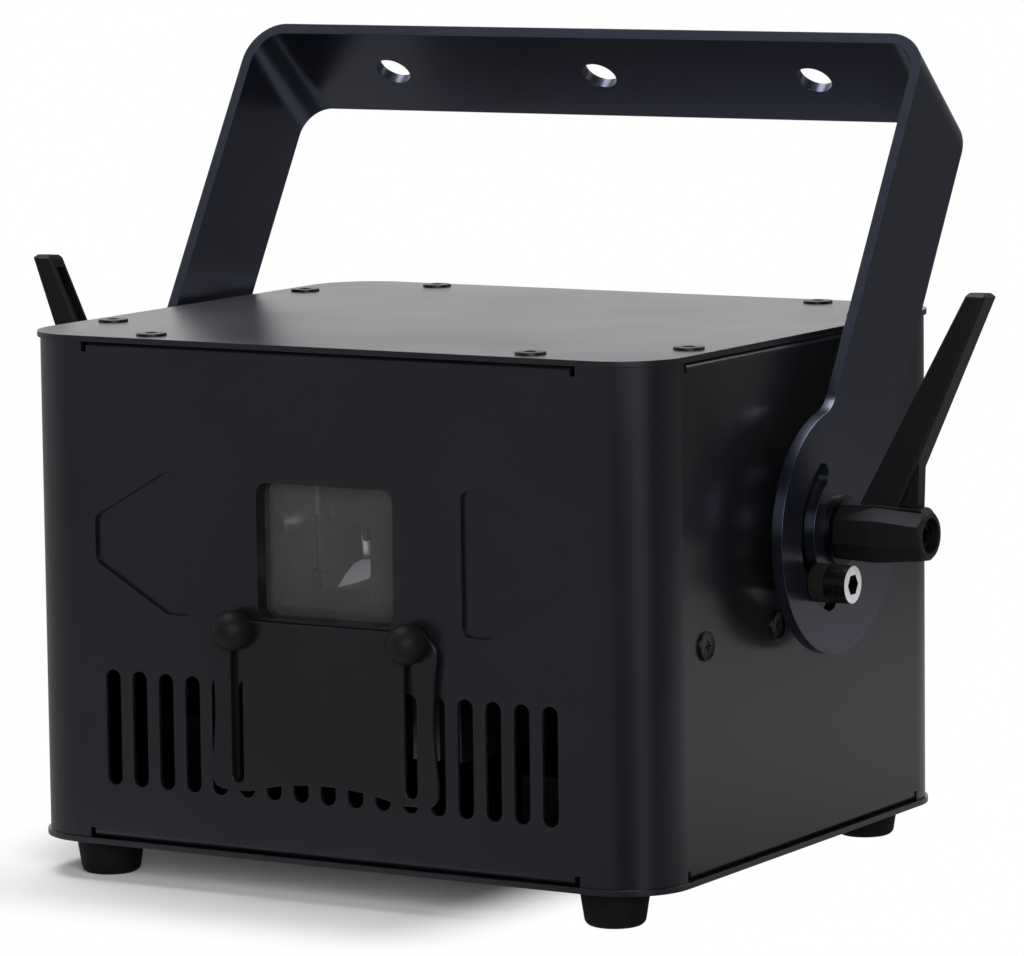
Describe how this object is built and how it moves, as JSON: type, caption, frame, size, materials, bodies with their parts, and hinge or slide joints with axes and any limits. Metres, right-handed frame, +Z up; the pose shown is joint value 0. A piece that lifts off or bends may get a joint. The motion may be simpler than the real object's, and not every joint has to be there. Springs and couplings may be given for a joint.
{
  "type": "laser show projector",
  "caption": "Rounded sheet-metal laser show projector on rubber feet, with a front window, sliding mask plate, vents and a tilting yoke clamped by levers.",
  "frame": {"origin": "on the floor under the middle of the case", "axes": "+Z up, -Y out of the front with the window, +X to the right seen from the front"},
  "size_m": [0.3858, 0.238, 0.2869],
  "materials": {
    "case_paint": "black powder coat, fine texture",
    "plate_paint": "black powder coat, satin",
    "yoke_paint": "black powder coat, satin",
    "mask_paint": "black powder coat, fine texture",
    "foot_rubber": "matte black rubber",
    "black_steel": "blackened steel",
    "bright_steel": "plain turned steel",
    "knob_plastic": "glossy black",
    "lever_zinc": "satin black coated die casting",
    "friction_fibre": "dark fibre",
    "bare_aluminium": "milled",
    "black_aluminium": "black anodised",
    "window_glass": "clear, coated",
    "mirror_coating": "front-surface mirror",
    "circuit_board": "green laminate",
    "supply_steel": "zinc plated sheet",
    "fan_plastic": "black moulding",
    "socket_plastic": "black moulding",
    "rocker_plastic": "black moulding",
    "key_chrome": "plated",
    "lamp_plastic": "red lens"
  },
  "bodies": {
    "case": {"case_wrap": "case_paint", "top_lid": "plate_paint", "base_plate": "plate_paint", "lid_screws": "black_steel", "base_screws": "black_steel", "foot_front_left": "foot_rubber", "foot_front_right": "foot_rubber", "foot_rear_left": "foot_rubber", "foot_rear_right": "foot_rubber", "foot_screws": "bright_steel", "side_screws": "black_steel", "rear_screws": "black_steel", "rear_panel": "plate_paint", "front_backing_plate": "case_paint", "window_glass": "window_glass", "window_retainer": "black_aluminium", "window_screws": "black_steel", "pivot_hub_left": "black_aluminium", "pivot_hub_right": "black_aluminium", "hub_screws": "bright_steel", "friction_washers": "friction_fibre", "stop_bolts": "bright_steel", "stop_sleeves": "friction_fibre", "stop_nuts": "bright_steel", "optical_bench": "bare_aluminium", "scanner_block": "black_aluminium", "galvo_motors": "bright_steel", "red_laser": "bare_aluminium", "green_laser": "bare_aluminium", "blue_laser": "bare_aluminium", "combiner_mirrors": "mirror_coating", "power_supply": "supply_steel", "heat_sink": "bare_aluminium", "scanner_driver_board": "circuit_board", "control_board": "circuit_board", "board_standoffs": "bright_steel", "fan_frame": "fan_plastic", "power_inlet": "socket_plastic", "key_switch": "key_chrome", "control_sockets": "supply_steel", "interlock_socket": "supply_steel", "emission_lamp": "lamp_plastic"},
    "mask": {"mask_plate": "mask_paint"},
    "left_knob": {"mask_knob_left": "knob_plastic"},
    "right_knob": {"mask_knob_right": "knob_plastic"},
    "yoke_frame": {"yoke": "yoke_paint", "clamp_washers": "bright_steel"},
    "left_clamp": {"lever_stud_left": "bright_steel", "lever_screw_left": "black_steel", "lever_spring_left": "bright_steel"},
    "right_clamp": {"lever_stud_right": "bright_steel", "lever_screw_right": "black_steel", "lever_spring_right": "bright_steel"},
    "left_handle": {"lever_left": "lever_zinc"},
    "right_handle": {"lever_right": "lever_zinc"},
    "x_scanner": {"galvo_x_mirror": "mirror_coating"},
    "y_scanner": {"galvo_y_mirror": "mirror_coating"},
    "fan": {"fan_rotor": "fan_plastic"},
    "mains_rocker": {"power_rocker": "rocker_plastic"},
    "switch_key": {"key": "key_chrome"}
  },
  "joints": [
    {"name": "yoke_tilt", "type": "hinge", "parent": "case", "child": "yoke_frame", "pos_m": [0, -0.0015, 0.1228], "axis": [1, 0, 0], "range_deg": [-31, 99]},
    {"name": "mask_slide", "type": "slide", "parent": "case", "child": "mask", "axis": [0, 0, 1], "range_m": [0, 0.05]},
    {"name": "left_knob_turn", "type": "hinge", "parent": "case", "child": "left_knob", "pos_m": [-0.0345, -0.112, 0.0919], "axis": [0, -1, 0], "range_deg": [0, 360]},
    {"name": "right_knob_turn", "type": "hinge", "parent": "case", "child": "right_knob", "pos_m": [0.0345, -0.112, 0.0919], "axis": [0, -1, 0], "range_deg": [0, 360]},
    {"name": "x_scan", "type": "hinge", "parent": "case", "child": "x_scanner", "pos_m": [-0.004, -0.074, 0.122], "axis": [0, 0, 1], "range_deg": [-12, 12]},
    {"name": "y_scan", "type": "hinge", "parent": "case", "child": "y_scanner", "pos_m": [0, -0.074, 0.1075], "axis": [1, 0, 0], "range_deg": [-12, 12]},
    {"name": "fan_spin", "type": "hinge", "parent": "case", "child": "fan", "pos_m": [0, 0.091, 0.052], "axis": [0, 1, 0], "continuous": true},
    {"name": "rocker_tilt", "type": "hinge", "parent": "case", "child": "mains_rocker", "pos_m": [-0.062, 0.105, 0.075], "axis": [-1, 0, 0], "range_deg": [0, 12.5]},
    {"name": "key_turn", "type": "hinge", "parent": "case", "child": "switch_key", "pos_m": [0.066, 0.1085, 0.148], "axis": [0, 1, 0], "range_deg": [0, 90]},
    {"name": "left_lever_turn", "type": "hinge", "parent": "case", "child": "left_clamp", "pos_m": [-0.1409, -0.0015, 0.1228], "axis": [-1, 0, 0], "range_deg": [0, 180]},
    {"name": "left_lever_lift", "type": "slide", "parent": "left_clamp", "child": "left_handle", "axis": [-1, 0, 0], "range_m": [0, 0.004], "stiffness_N_per_m": 900, "springref_m": -0.003, "deforming": ["lever_spring_left"]},
    {"name": "right_lever_turn", "type": "hinge", "parent": "case", "child": "right_clamp", "pos_m": [0.1409, -0.0015, 0.1228], "axis": [-1, 0, 0], "range_deg": [0, 180]},
    {"name": "right_lever_lift", "type": "slide", "parent": "right_clamp", "child": "right_handle", "axis": [1, 0, 0], "range_m": [0, 0.004], "stiffness_N_per_m": 900, "springref_m": -0.003, "deforming": ["lever_spring_right"]}
  ]
}
